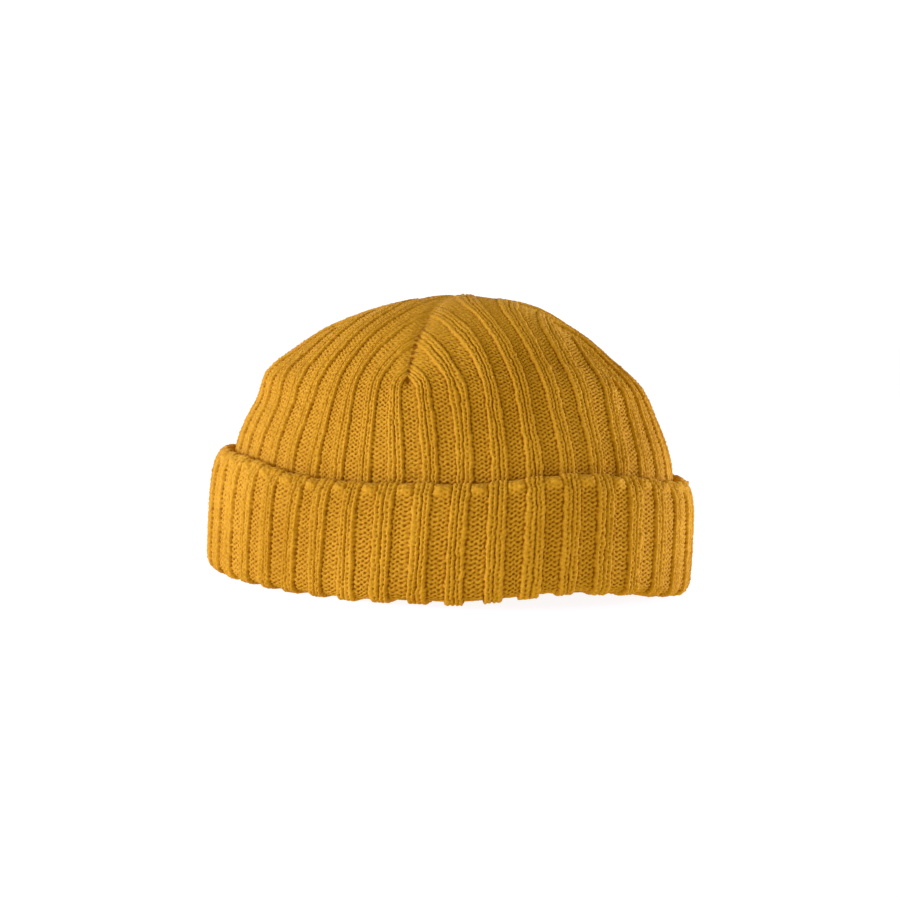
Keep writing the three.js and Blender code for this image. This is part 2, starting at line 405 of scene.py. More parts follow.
# The relief tree: lifts the stitches and the ribs out of a smooth cloth
def reliefTree():
    tree = bpy.data.node_groups.new("knitRelief", "GeometryNodeTree")
    face = tree.interface
    face.new_socket("Cloth", in_out="INPUT", socket_type="NodeSocketGeometry")
    names = ["ribRelief"] + list(relief)
    for name in names:
        face.new_socket(name, in_out="INPUT", socket_type="NodeSocketFloat")
    face.new_socket("Material", in_out="INPUT", socket_type="NodeSocketMaterial")
    face.new_socket("Cloth", in_out="OUTPUT", socket_type="NodeSocketGeometry")
    source = tree.nodes.new("NodeGroupInput")
    sink = tree.nodes.new("NodeGroupOutput")
    size = {name: Sum(tree, source.outputs[name]) for name in names}

    def stored(name, kind="FLOAT"):
        node = tree.nodes.new("GeometryNodeInputNamedAttribute")
        node.data_type = kind
        node.inputs["Name"].default_value = name
        return node.outputs["Attribute"]

    def noiseAt(scale, seed):
        node = tree.nodes.new("ShaderNodeTexNoise")
        node.noise_dimensions = "4D"
        node.inputs["Scale"].default_value = scale
        node.inputs["Detail"].default_value = 2
        tree.links.new(seed.socket, node.inputs["W"])
        return (Sum(tree, node.outputs[0]) - 0.5) * 2.0

    wale = Sum(tree, stored("wale"))
    wale = wale + noiseAt(noiseScale["across"], size["seed"] + 1.0) * size["strayAcross"]
    course = Sum(tree, stored("course"))
    course = course + noiseAt(noiseScale["up"], size["seed"] + 2.0) * size["strayUp"]
    ribShow = Sum(tree, stored("ribShow"))
    stitchShow = Sum(tree, stored("stitchShow"))
    rim = Sum(tree, stored("rim"))
    seamShade = Sum(tree, stored("seamShade"))
    height, paintedShade, band, dome = stitchHeight(wale, course, size)
    uneven = noiseAt(noiseScale["uneven"], size["seed"]) * size["unevenness"]
    fineUneven = noiseAt(noiseScale["fineUneven"], size["seed"] + 3.0) * size["fineUnevenness"]
    uneven = uneven + fineUneven
    purl = 1.0 - band
    show = stitchShow * (1.0 - rim * purl * rimLumps["stitchLoss"])
    blob = dome * purl + noiseAt(noiseScale["rim"], size["seed"] + 5.0) * rimLumps["noise"]
    lift = height * show - purl * ribShow * size["ribRelief"] + uneven * stitchShow
    lift = lift + rim * (blob - rimLumps["level"]) * size["rimBulge"]
    scaleNode = tree.nodes.new("ShaderNodeVectorMath")
    scaleNode.operation = "SCALE"
    tree.links.new(stored("outward", "FLOAT_VECTOR"), scaleNode.inputs[0])
    tree.links.new(lift.socket, scaleNode.inputs["Scale"])
    move = tree.nodes.new("GeometryNodeSetPosition")
    tree.links.new(source.outputs["Cloth"], move.inputs["Geometry"])
    tree.links.new(scaleNode.outputs[0], move.inputs["Offset"])

    def store(geometry, name, value):
        node = tree.nodes.new("GeometryNodeStoreNamedAttribute")
        node.data_type = "FLOAT"
        node.domain = "POINT"
        node.inputs["Name"].default_value = name
        tree.links.new(geometry, node.inputs["Geometry"])
        tree.links.new(value.socket, node.inputs["Value"])
        return node.outputs["Geometry"]

    # Painted shade, stored for the yarn: down between the stitches, broken along the sunk seams of the
    # long darts and in their pits, and between the rim's lumps
    brokenSeamShade = seamShade * (0.4 + 0.6 * (course * 0.5).wave())
    paintedDeepShade = paintedShade * stitchShow * (1.0 - rim * purl * rimLumps["paintedShadeLoss"])
    paintedDeepShade = paintedDeepShade + brokenSeamShade * shade["seamShade"] + rim * purl * (1.0 - dome) * shade["rim"]
    geometry = store(move.outputs["Geometry"], "paintedShade", paintedDeepShade)
    real = tree.nodes.new("GeometryNodeRealizeInstances")
    tree.links.new(geometry, real.inputs["Geometry"])
    finish = tree.nodes.new("GeometryNodeSetMaterial")
    tree.links.new(real.outputs["Geometry"], finish.inputs["Geometry"])
    tree.links.new(source.outputs["Material"], finish.inputs["Material"])
    tree.links.new(finish.outputs["Geometry"], sink.inputs["Cloth"])
    return tree


# Runs the tree once on a smooth cloth and returns the plain mesh it gives
def raiseStitches(tree, mesh, material, settings):
    cloth = bpy.data.objects.new(mesh.name, mesh)
    bpy.context.collection.objects.link(cloth)
    modifier = cloth.modifiers.new("knit", "NODES")
    modifier.node_group = tree
    values = dict(settings)
    for item in tree.interface.items_tree:
        if item.in_out == "INPUT" and item.name in values:
            modifier[item.identifier] = values[item.name]
        if item.in_out == "INPUT" and item.name == "Material":
            modifier[item.identifier] = material
    ready = cloth.evaluated_get(bpy.context.evaluated_depsgraph_get())
    plain = bpy.data.meshes.new_from_object(ready)
    bpy.data.objects.remove(cloth)
    return plain


# Joins two runs of points by triangles, walking along both at once
def zipRuns(first, firstAt, second, secondAt):
    faces = []
    i = j = 0
    while i < len(first) - 1 or j < len(second) - 1:
        ahead = i == len(first) - 1 or (j < len(second) - 1 and secondAt[j + 1] <= firstAt[i + 1])
        if ahead:
            faces.append((first[i], second[j + 1], second[j], -1))
            j += 1
        else:
            faces.append((first[i], first[i + 1], second[j], -1))
            i += 1
    return [face for face in faces if len({face[0], face[1], face[2]}) == 3]


# Faces of a grid of point numbers; quads that the darts have shrunk are triangles or go.
# The corner values of each face are given for its left and its right edge.
def gridFaces(index, leftAt, rightAt, rowAt):
    a, b = index[:-1, :-1].ravel(), index[:-1, 1:].ravel()
    c, d = index[1:, 1:].ravel(), index[1:, :-1].ravel()
    faces = np.stack([a, b, c, d], -1)
    low = np.repeat(rowAt[:-1], leftAt.shape[1])
    high = np.repeat(rowAt[1:], leftAt.shape[1])
    edges = (leftAt[:-1], rightAt[:-1], rightAt[1:], leftAt[1:])
    across = np.stack([edge.ravel() for edge in edges], -1)
    along = np.stack([low, low, high, high], -1)
    corners = np.stack([across, along], -1)
    lowGone = a == b
    highGone = c == d
    faces[lowGone] = np.stack([a, c, d, np.full_like(a, -1)], -1)[lowGone]
    corners[lowGone] = corners[lowGone][:, [0, 2, 3, 3]]
    faces[highGone, 3] = -1
    keep = ~(lowGone & highGone)
    column = np.tile(np.arange(leftAt.shape[1]), len(index) - 1)
    return faces[keep], corners[keep], column[keep]


# Normals of points as the faces round them give them
def pointNormals(points, faces):
    normals = np.zeros_like(points)
    a, b, c = points[faces[:, 0]], points[faces[:, 1]], points[faces[:, 2]]
    last = np.where(faces[:, 3] < 0, faces[:, 2], faces[:, 3])
    d = points[last]
    weight = np.cross(c - a, d - b)
    flat = faces[:, 3] < 0
    weight[flat] = np.cross(b - a, c - a)[flat]
    for k in range(3):
        for axis in range(3):
            np.add.at(normals[:, axis], faces[:, k], weight[:, axis])
    for axis in range(3):
        np.add.at(normals[:, axis], last[~flat], weight[~flat][:, axis])
    size = np.linalg.norm(normals, axis=1)
    return normals / np.maximum(size, 1e-12)[:, None]


# A closed piece: part of the raised cloth, its hidden side and the two cut ends
def closedPiece(name, points, normals, faces, corners, smoothCount, values, material):
    used, place = np.unique(faces[faces >= 0], return_inverse=True)
    local = np.full(faces.shape, -1)
    local[faces >= 0] = place
    isTriangle = local[:, 3] < 0
    order = np.concatenate([np.nonzero(~isTriangle)[0], np.nonzero(isTriangle)[0]])
    mesh = makeMesh(name, points[used], local, {key: value[used] for key, value in values.items()})
    smooth = order < smoothCount
    mesh.polygons.foreach_set("use_smooth", smooth)
    quadCount = int((~isTriangle).sum())
    byCorner = corners[order]
    knitMap = mesh.uv_layers.new(name="knit")
    flat = np.concatenate([byCorner[:quadCount].reshape(-1, 2), byCorner[quadCount:, :3].reshape(-1, 2)])
    knitMap.data.foreach_set("uv", flat.astype(np.float32).ravel())
    p = points
    byFace = faces[order]
    straight = np.cross(p[byFace[:, 1]] - p[byFace[:, 0]], p[byFace[:, 2]] - p[byFace[:, 0]])
    straight /= np.maximum(np.linalg.norm(straight, axis=1), 1e-12)[:, None]
    corner = np.where(smooth[:, None, None], normals[np.maximum(byFace, 0)], straight[:, None, :])
    flatNormals = np.concatenate([corner[:quadCount].reshape(-1, 3),
                                  corner[quadCount:, :3].reshape(-1, 3)])
    mesh.normals_split_custom_set(flatNormals.tolist())
    mesh.materials.append(material)
    piece = bpy.data.objects.new(name, mesh)
    bpy.context.collection.objects.link(piece)
    return piece


# Cuts a raised cloth with its hidden side into closed sectors
def cutSectors(name, node, sectors, cloth, hidden, material):
    points = np.vstack([cloth["points"], hidden["points"]])
    start = len(cloth["points"])
    outerFaces, outerCorners, outerColumn = cloth["faces"], cloth["corners"], cloth["column"]
    index = cloth["index"]
    back = hidden["index"] + start
    backGrid = gridFaces(back, hidden["left"], hidden["right"], hidden["rowAt"])
    backFaces, backCorners, backColumn = backGrid
    normals = pointNormals(points, np.vstack([outerFaces, backFaces]))
    tipAt = 1.01  # past the last row, which is at 1
    # The hidden side takes one even painted shade
    values = {key: np.concatenate([value, np.full(len(hidden["points"]), hidden[key])])
              for key, value in cloth["values"].items()}
    pieces = []
    width = around // sectors
    for k in range(sectors):
        low, high = k * width, (k + 1) * width
        outer = (outerColumn >= low) & (outerColumn < high)
        inner = (backColumn >= low // coarse) & (backColumn < high // coarse)
        columns = np.arange(low, high + 1)
        backColumns = np.arange(low // coarse, high // coarse + 1)
        joins = []
        for clothRow, hiddenRow, clothFirst in hidden["joins"]:
            clothRun = index[clothRow, columns]
            keep = np.concatenate([[True], clothRun[1:] != clothRun[:-1]])
            clothRun, clothAt = clothRun[keep], columns[keep]
            runs = (clothRun, clothAt, back[hiddenRow, backColumns], backColumns * coarse)
            joins += zipRuns(*runs) if clothFirst else zipRuns(runs[2], runs[3], runs[0], runs[1])
        if cloth["tip"] is not None:
            last = index[-1, columns]
            joins += [(a, b, cloth["tip"], -1) for a, b in zip(last[:-1], last[1:]) if a != b]
            top = back[0, backColumns]
            joins += [(hidden["tip"] + start, b, a, -1) for a, b in zip(top[:-1], top[1:])]
        ends = []
        for column, isStart in ((low, True), (high, False)):
            clothRun = list(index[:, column])
            hiddenRun = list(back[::-1, column // coarse])
            clothAt = list(cloth["wallAt"])
            hiddenAt = list(hidden["wallAt"][::-1])
            if cloth["tip"] is not None:
                clothRun.append(cloth["tip"])
                clothAt.append(tipAt)
                hiddenRun.append(hidden["tip"] + start)
                hiddenAt.append(tipAt)
            if isStart:
                ends += zipRuns(clothRun, clothAt, hiddenRun, hiddenAt)
            else:
                ends += zipRuns(hiddenRun, hiddenAt, clothRun, clothAt)
        smoothFaces = np.vstack([outerFaces[outer], backFaces[inner], np.array(joins)])
        faces = np.vstack([smoothFaces, np.array(ends)])
        plain = np.zeros((len(joins) + len(ends), 4, 2))
        corners = np.vstack([outerCorners[outer], backCorners[inner], plain])
        piece = closedPiece(f"{name}_{k + 1}", points, normals, faces, corners, len(smoothFaces),
                            values, material)
        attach(piece, "root")
        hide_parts(node)
        pieces.append(piece)
    faceCount = sum(len(piece.data.polygons) for piece in pieces)
    print(name, "in", sectors, "pieces,", faceCount, "faces")


# The cuff as a smooth cloth: rows round its section, columns along the hem
def cuffCloth():
    curve = smoothColumns(cuff["rows"], cuff["curveSteps"])
    curve[:, 2] = np.clip(curve[:, 2], 0, 2)
    curve[:, 3] = np.clip(curve[:, 3], 0, 1)
    rows = evenRows(curve, -curve[:, 1] * cuff["standOff"], curve[:, 0] * cuff["height"],
                    knit["course"] / knit["rowsPerCourse"])
    radial = -rows[:, 1] * cuff["standOff"]
    upright = rows[:, 0] * cuff["height"]
    outR, outZ = slopes(radial, upright)
    column = np.arange(around)
    ribAt = column / ribColumns - 0.5
    share = (ribAt + cuff["ribPhase"]) / knit["ribs"]
    count = len(rows)
    walked = np.arange(count) * knit["course"] / knit["rowsPerCourse"]
    x, y, nx, ny = planAt(share[None, :] + wobble(share[None, :], walked[:, None]))
    lift = hemLift(share)
    low = np.clip(1 - rows[:, 0], 0, 1)[:, None]
    grid = np.zeros((count, around, 3))
    grid[:, :, 0] = x + nx * radial[:, None] + cuff["footLean"][0] * low
    grid[:, :, 1] = y + ny * radial[:, None] + cuff["footLean"][1] * low
    grid[:, :, 2] = upright[:, None] * (1 + waveAt(rimWaves, share))[None, :] + lift[None, :]
    outward = np.zeros_like(grid)
    outward[:, :, 0] = nx * outR[:, None]
    outward[:, :, 1] = ny * outR[:, None]
    outward[:, :, 2] = outZ[:, None]
    courses = np.arange(count) / knit["rowsPerCourse"]
    highest = np.argmax(rows[:, 0])
    blobAt = np.interp(cuff["rimBlobs"], rows[:highest, 0], walked[:highest])
    rim = np.exp(-((walked - blobAt) / cuff["rimReach"]) ** 2)

    def spread(values):
        return np.repeat(values, around)

    attributes = {
        "wale": np.tile(ribAt * knit["walesPerRib"], count),
        "course": spread(courses),
        "ribShow": spread(rows[:, 2]),
        "stitchShow": spread(rows[:, 3]),
        "rim": spread(rim),
        "seamShade": spread(np.zeros(count)),
        "outward": outward.reshape(-1, 3),
    }
    index = np.arange(count * around).reshape(count, around)
    index = np.concatenate([index, index[:, :1]], 1)
    waleAt = np.arange(around + 1) / ribColumns * knit["walesPerRib"] - 2
    left = np.tile(waleAt[:-1], (count, 1))
    right = np.tile(waleAt[1:], (count, 1))
    faces, corners, columns = gridFaces(index, left, right, courses)
    wallAt = np.linspace(0, 1, count)
    return {"points": grid.reshape(-1, 3), "attributes": attributes, "index": index, "faces": faces,
            "corners": corners, "column": columns, "tip": None, "wallAt": wallAt}


# The hidden side of the cuff: down behind the rim to the fold of the hem
def cuffBack():
    column = np.arange(0, around, coarse)
    share = (column / ribColumns - 0.5 + cuff["ribPhase"]) / knit["ribs"]
    x, y, nx, ny = planAt(share)
    lift = hemLift(share)
    inner = cuff["standOff"] - cuff["gap"]
    under = cuff["standOff"] + knit["thickness"]
    rows = [(inner, cuff["height"] * height) for height in cuff["hiddenRows"]]
    rows += [(inner, cuff["hem"]), (under, cuff["hem"] * cuff["hiddenFoot"])]
    grid = np.zeros((len(rows), len(column), 3))
    for k, (inset, height) in enumerate(rows):
        grid[k, :, 0] = x - nx * inset
        grid[k, :, 1] = y - ny * inset
        grid[k, :, 2] = height + lift
    index = np.arange(grid.shape[0] * len(column)).reshape(grid.shape[0], len(column))
    index = np.concatenate([index, index[:, :1]], 1)
    waleAt = np.arange(len(column) + 1) * coarse / knit["columnsPerWale"] - 2
    left = np.tile(waleAt[:-1], (len(rows), 1))
    right = np.tile(waleAt[1:], (len(rows), 1))
    return {"points": grid.reshape(-1, 3), "index": index, "left": left, "right": right,
            "rowAt": np.arange(len(rows)) * cuff["hiddenCourses"], "paintedShade": cuff["hiddenPaintedShade"],
            "tip": None, "joins": [(-1, 0, True), (0, -1, False)], "wallAt": cuff["hiddenAt"]}


# The crown. Widths, reaches, gaps that darts leave and narrow values are in ribs. Heights,
# "tall" values, seamEnd, topFlatFrom and driftFull are shares of the way from the cuff's rim
# to the top. Each row: height, radius as a share of the crown's plan where it faces front,
# ribs left beside a long dart and beside a short one, millimetres that the ring sits behind
# the top, and how far it follows the hem. The last rows lie behind the top.
crown = {
    "height": 120.5 * mm,
    "phase": 0.17,
    "darts": 6,
    "firstDart": 5.5,
    "tipHeight": 0.5,
    "dartDepth": 0.8 * mm,
    "dartWidth": 0.15,
    "shortDartDepth": 0.6 * mm,
    "shortDartWidth": 0.3,
    "dartPuff": 0.7 * mm,
    "puffWidth": 1.2,
    "puffTall": 0.1,
    "pitDepth": 1.0 * mm,
    "pitWidth": 0.11,
    "pitAbove": 0.03,
    "pitTall": 0.014,
    "dropNear": 0.006,
    "dartsEnd": 0.3,
    "dartsEndOver": 0.8,
    "drawnOver": 0.4,
    # seamWidth, seamEnd and seamEndTall place the painted shade along the sunk seams of the long darts
    "seamWidth": 0.05,
    "seamFlat": 0.65,
    "seamFlatWidth": 0.5,
    "seamEnd": 0.97,
    "seamEndTall": 0.25,
    "topFlat": 0.6,
    "topFlatFrom": 0.7,
    "topFlatTall": 0.25,
    "gather": 11.0 * mm,
    "bendReach": 0.7,
    "takeUpReach": 1.6,
    "topLean": (2.1 * mm, 1.3 * mm),
    "backward": (-0.515, 0.857),
    "sectors": 3,
    "ribShow": 0.75,
    "ribsNarrow": 0.8,
    "stitchShow": 0.95,
    "stitchesNarrow": 0.5,
    # painted shade on the hidden side, which lies in shade
    "hiddenPaintedShade": 0.35,
    "hiddenCourses": 2.5,
    "hiddenRelief": 0.8 * mm,
    "footGap": 0.6 * mm,
    "footInset": 2.2 * mm,
    "hiddenTip": 1.5 * mm,
    "hiddenDown": (0.7, 0.3, 0.0),
    "hiddenUp": (0.0, 0.5),
    "tipDepth": 0.2 * mm,
    "driftFull": 0.75,
    "curveSteps": 900,
    "rows": [
        (-0.12, 1.0, 3.5, 3.5, 0.0, 1.0),
        (0.03, 1.0, 3.5, 3.5, 0.0, 0.9),
        (0.15, 0.98, 3.5, 3.5, 0.0, 0.75),
        (0.27, 0.943, 3.5, 3.5, 0.0, 0.6),
        (0.39, 0.9, 3.5, 3.5, 0.4, 0.4),
        (0.5, 0.854, 3.5, 3.42, 1.1, 0.25),
        (0.595, 0.794, 3.0, 3.25, 2.1, 0.1),
        (0.69, 0.711, 2.5, 3.2, 3.5, 0.0),
        (0.78, 0.612, 2.0, 3.0, 5.2, 0.0),
        (0.86, 0.485, 1.5, 2.55, 7.0, 0.0),
        (0.92, 0.36, 1.0, 2.0, 8.5, 0.0),
        (0.965, 0.235, 0.6, 1.4, 9.7, 0.0),
        (0.99, 0.1, 0.4, 0.85, 10.5, 0.0),
        (1.0, 0.0, 0.3, 0.55, 11.0, 0.0),
        (0.99, -0.11, 0.2, 0.3, 11.0, 0.0),
    ],
}

# Soft dents and swells of the crown: angle from +X, height share, how far it reaches round
# in degrees and up in height shares, millimetres out
crownDents = [
    (31, 0.69, 42, 0.14, -2.4),
    (22, 0.93, 50, 0.06, 1.6),
    (211, 0.52, 30, 0.1, 1.9),
    (211, 0.36, 28, 0.07, -0.7),
]

# How the ribs of the crown lean sideways higher up: rib, and ribs that it drifts
ribDrift = [
    (5.5, 0),
    (29.5, 0),
    (31.5, -0.4),
    (33.5, -0.65),
    (35.5, -0.2),
    (37.5, -0.2),
    (39.0, 0),
    (40.5, 0.5),
    (43.0, 0.3),
    (46.5, 0),
    (47.5, 0),
]


# Curve of the crown from inside the cuff to the top, as even rows
def crownRows(spacing):
    curve = smoothColumns(crown["rows"], crown["curveSteps"])
    curve[:, 2:4] = np.clip(curve[:, 2:4], 0.15, 3.5)
    curve[:, 4] = np.maximum(curve[:, 4], 0) * mm
    curve[:, 5] = np.clip(curve[:, 5], 0, 1)
    rise = crown["height"] - cuff["height"]
    drop = cuff["height"] - cuff["hem"]
    upright = cuff["height"] + np.where(curve[:, 0] < 0, curve[:, 0] * drop, curve[:, 0] * rise)
    radial = curve[:, 1] * ((halfLength + halfWidth) / 2 - cuff["standOff"])
    both = np.concatenate([curve, upright[:, None], radial[:, None]], 1)
    return evenRows(both, radial, upright, spacing)


# The crown's plain dome: height and slope by its radius as a share of the crown's plan
domeRows = crownRows(0.5 * mm)
domeRows = domeRows[(domeRows[:, 1] > 0.01) & (domeRows[:, 0] > 0.1)][::-1]
domeOutR, domeOutZ = slopes(domeRows[::-1, 7], domeRows[::-1, 6])
domeOutR, domeOutZ = domeOutR[::-1], domeOutZ[::-1]
domeEdge = 0.98

# Plan of the crown by the angle from +X, to find the share that faces a spot
crownShares = np.linspace(-0.5, 0.5, 1441)
crownX, crownY, crownOutX, crownOutY = planAt(crownShares)
crownX = crownX - crownOutX * cuff["standOff"]
crownY = crownY - crownOutY * cuff["standOff"]
crownAngles = np.arctan2(crownY, crownX)
crownAngles[0], crownAngles[-1] = -math.pi, math.pi
crownReach = np.hypot(crownX, crownY)
frontAngle = math.atan2(-crown["backward"][1], -crown["backward"][0])
frontReach = np.interp(frontAngle, crownAngles, crownReach)


# Points of the crown at a share of the way round, for every row, and which way is out
def crownPoints(rows, share):
    front, behind, follow, upright = (rows[:, k][:, None] for k in (1, 4, 5, 6))
    rowOutR, rowOutZ = slopes(rows[:, 7], rows[:, 6])
    x, y, nx, ny = planAt(share)
    radius = front + behind / frontReach
    x = (x - nx * cuff["standOff"]) * radius + crown["backward"][0] * behind
    y = (y - ny * cuff["standOff"]) * radius + crown["backward"][1] * behind
    angle = np.arctan2(y, x)
    radius = np.hypot(x, y) / np.interp(angle, crownAngles, crownReach)
    facing = np.interp(angle, crownAngles, crownShares)
    _, _, nx, ny = planAt(facing)
    onDome = radius < domeEdge
    z = np.where(onDome, np.interp(radius, domeRows[:, 1], domeRows[:, 6]), upright)
    outR = np.where(onDome, np.interp(radius, domeRows[:, 1], domeOutR), rowOutR[:, None])
    outZ = np.where(onDome, np.interp(radius, domeRows[:, 1], domeOutZ), rowOutZ[:, None])
    rise = np.clip((z - cuff["height"]) / (crown["height"] - cuff["height"]), 0, 1) ** 2
    grid = np.stack([x + crown["topLean"][0] * rise, y + crown["topLean"][1] * rise,
                     z + hemLift(share) * follow], -1)
    outward = np.stack([nx * outR, ny * outR, outZ], -1)
    heightShare = (z - cuff["height"]) / (crown["height"] - cuff["height"])
    for atAngle, atHeight, reachRound, reachUp, out in crownDents:
        offAngle = (np.degrees(angle) - atAngle + 180) % 360 - 180
        swell = np.exp(-(offAngle / reachRound) ** 2 - ((heightShare - atHeight) / reachUp) ** 2)
        grid = grid + outward * (swell * out * mm)[..., None]
    return grid, outward


# The spot that the ribs run to, just behind the top
def crownTip(depth):
    behind = crown["rows"][-1][4] * mm
    x = crown["backward"][0] * behind
    y = crown["backward"][1] * behind
    radius = math.hypot(x, y) / np.interp(math.atan2(y, x), crownAngles, crownReach)
    z = np.interp(radius, domeRows[:, 1], domeRows[:, 6])
    return np.array([[x + crown["topLean"][0], y + crown["topLean"][1], z - depth]])


# Where a spot of a gore lies: the ribs next to a dart run into it sharply, the others are
# left nearly as they were. "taken" is what the darts take on the left and on the right.
def goreShare(gore, inGore, left, right, leftTaken, rightTaken, height):
    half = knit["ribs"] / crown["darts"] / 2
    reach = crown["takeUpReach"]

    def place(at):
        fromRight = (half - at - rightTaken) / reach
        fromLeft = (half + at - leftTaken) / reach
        return at + rightTaken * np.exp(-fromRight) - leftTaken * np.exp(-fromLeft)

    def bent(at):
        atLeft = (-half - place(-left)) * np.exp(-(at + left) / crown["bendReach"])
        atRight = (half - place(right)) * np.exp(-(right - at) / crown["bendReach"])
        return place(at) + atLeft + atRight

    start, end = bent(-left), bent(right)
    across = (bent(inGore) - start) / (end - start)
    rib = crown["firstDart"] + (gore + across) * 2 * half
    drift = np.interp(rib, [row[0] for row in ribDrift], [row[1] for row in ribDrift])
    grown = np.clip(height / crown["driftFull"], 0, 1) ** 2
    grown = grown * (3 - 2 * np.sqrt(grown))
    return (rib + drift * grown + crown["phase"]) / knit["ribs"]


# Ribs left on one side of a gore, smoothed, so that the ribs start to bend below the dart
def gathered(ribsLeft, step):
    rows = int(round(crown["gather"] * 3 / step))
    weights = np.exp(-((np.arange(-rows, rows + 1) * step / crown["gather"]) ** 2) / 2)
    smooth = np.convolve(np.pad(ribsLeft, rows, mode="edge"), weights / weights.sum(), mode="valid")
    return np.minimum(smooth, ribsLeft)


def crownCloth():
    step = knit["course"] / knit["rowsPerCourse"]
    rows = crownRows(step)
    count = len(rows)
    height = rows[:, 0][:, None]
    perGore = around // crown["darts"]
    half = perGore // 2
    column = np.arange(around)
    gore = column // perGore
    inGore = (column % perGore - half) / ribColumns
    startsLong = (gore % 2 == 0)[None, :]  # every other dart is a long one
    left = np.where(startsLong, rows[:, 2][:, None], rows[:, 3][:, None])
    right = np.where(startsLong, rows[:, 3][:, None], rows[:, 2][:, None])
    fullRibs = knit["ribs"] / crown["darts"] / 2
    isDart = column % perGore == 0
    held = np.clip(inGore[None, :], -left, right)
    near = crown["dropNear"]
    keep = (inGore[None, :] > -left + near) & (inGore[None, :] < right - near)
    keep = keep | isDart[None, :]
    held = np.where(isDart[None, :], -left, held)
    fromLong = np.where(startsLong, held + left, right - held)
    fromShort = np.where(startsLong, right - held, held + left)
    longTaken = (fullRibs - gathered(rows[:, 2], step))[:, None]
    shortTaken = (fullRibs - gathered(rows[:, 3], step))[:, None]
    leftTaken = np.where(startsLong, longTaken, shortTaken)
    rightTaken = np.where(startsLong, shortTaken, longTaken)
    share = goreShare(gore[None, :], held, left, right, leftTaken, rightTaken, height)
    share = share + wobble(share, rows[:, 6][:, None])
    grid, outward = crownPoints(rows, share)
    narrow = (left + right) / 2
    fade = np.clip((narrow - crown["dartsEnd"]) / crown["dartsEndOver"], 0, 1)
    drawnOver = crown["drawnOver"]
    longDrawn = np.clip((fullRibs - rows[:, 2][:, None]) / drawnOver, 0, 1) * fade
    shortDrawn = np.clip((fullRibs - rows[:, 3][:, None]) / drawnOver, 0, 1) * fade
    upTip = height - crown["tipHeight"]
    offPit = (upTip - crown["pitAbove"]) / crown["pitTall"]
    pit = np.exp(-(fromLong / crown["pitWidth"]) ** 2 - offPit ** 2)
    puff = np.exp(-(fromLong / crown["puffWidth"]) ** 2) + np.exp(-(fromShort / crown["puffWidth"]) ** 2)
    puff = puff * crown["dartPuff"] * np.exp(-(upTip / crown["puffTall"]) ** 2)
    sunk = longDrawn * crown["dartDepth"] * np.exp(-(fromLong / crown["dartWidth"]) ** 2)
    shortSunk = crown["shortDartDepth"] * np.exp(-(fromShort / crown["shortDartWidth"]) ** 2)
    sunk = sunk + shortDrawn * shortSunk + pit * crown["pitDepth"] - puff
    grid -= outward * sunk[..., None]
    # The knit lies flatter on top and beside the seams of the long darts
    onTop = np.clip((height - crown["topFlatFrom"]) / crown["topFlatTall"], 0, 1)
    flatter = 1 - crown["topFlat"] * onTop
    besideSeam = longDrawn * np.exp(-(fromLong / crown["seamFlatWidth"]) ** 2)
    flatter = flatter * (1 - crown["seamFlat"] * besideSeam)
    seamShade = longDrawn * np.exp(-(fromLong / crown["seamWidth"]) ** 2)
    seamShade = seamShade * np.clip((crown["seamEnd"] - height) / crown["seamEndTall"], 0, 1)
    ribShow = crown["ribShow"] * np.clip(narrow / crown["ribsNarrow"], 0, 1)
    stitchShow = crown["stitchShow"] * np.clip(narrow / crown["stitchesNarrow"], 0.2, 1)
    courses = np.arange(count) / knit["rowsPerCourse"]
    number = np.cumsum(keep.ravel()).reshape(count, around) - 1
    index = number.copy()
    nextDart = ((gore + 1) % crown["darts"]) * perGore
    ownDart = gore * perGore
    dropped = ~keep
    toNext = dropped & (inGore > 0)[None, :]
    toOwn = dropped & (inGore < 0)[None, :]
    rowNumbers = np.repeat(np.arange(count)[:, None], around, 1)
    index[toNext] = number[rowNumbers[toNext], np.broadcast_to(nextDart, index.shape)[toNext]]
    index[toOwn] = number[rowNumbers[toOwn], np.broadcast_to(ownDart, index.shape)[toOwn]]
    index = np.concatenate([index, index[:, :1]], 1)
    base = gore * knit["walesPerRib"] * (knit["ribs"] // crown["darts"])
    leftEdge = base + np.clip(inGore[None, :], -left, right) * knit["walesPerRib"]
    rightEdge = base + np.clip(inGore[None, :] + 1 / ribColumns, -left, right) * knit["walesPerRib"]
    faces, corners, columns = gridFaces(index, leftEdge, rightEdge, courses)
    kept = keep.ravel()
    points = np.vstack([grid.reshape(-1, 3)[kept], crownTip(crown["tipDepth"])])

    def flat(values, atTip):
        return np.concatenate([np.broadcast_to(values, keep.shape).ravel()[kept], [atTip]])

    attributes = {
        "wale": flat(held * knit["walesPerRib"], 0),
        "course": flat(courses[:, None], count / knit["rowsPerCourse"]),
        "ribShow": flat(ribShow * flatter, 0),
        "stitchShow": flat(stitchShow * (0.4 + 0.6 * flatter), 0.3),
        "rim": flat(np.zeros(1), 0),
        # painted shade down the long darts' seams and in their pits
        "seamShade": flat(np.clip(seamShade + pit, 0, 1), 0),
        "outward": np.vstack([outward.reshape(-1, 3)[kept], [[0, 0, 1]]]),
    }
    wallAt = np.linspace(0, 1, count)
    return {"points": points, "attributes": attributes, "index": index, "faces": faces,
            "corners": corners, "column": columns, "tip": len(points) - 1, "wallAt": wallAt}


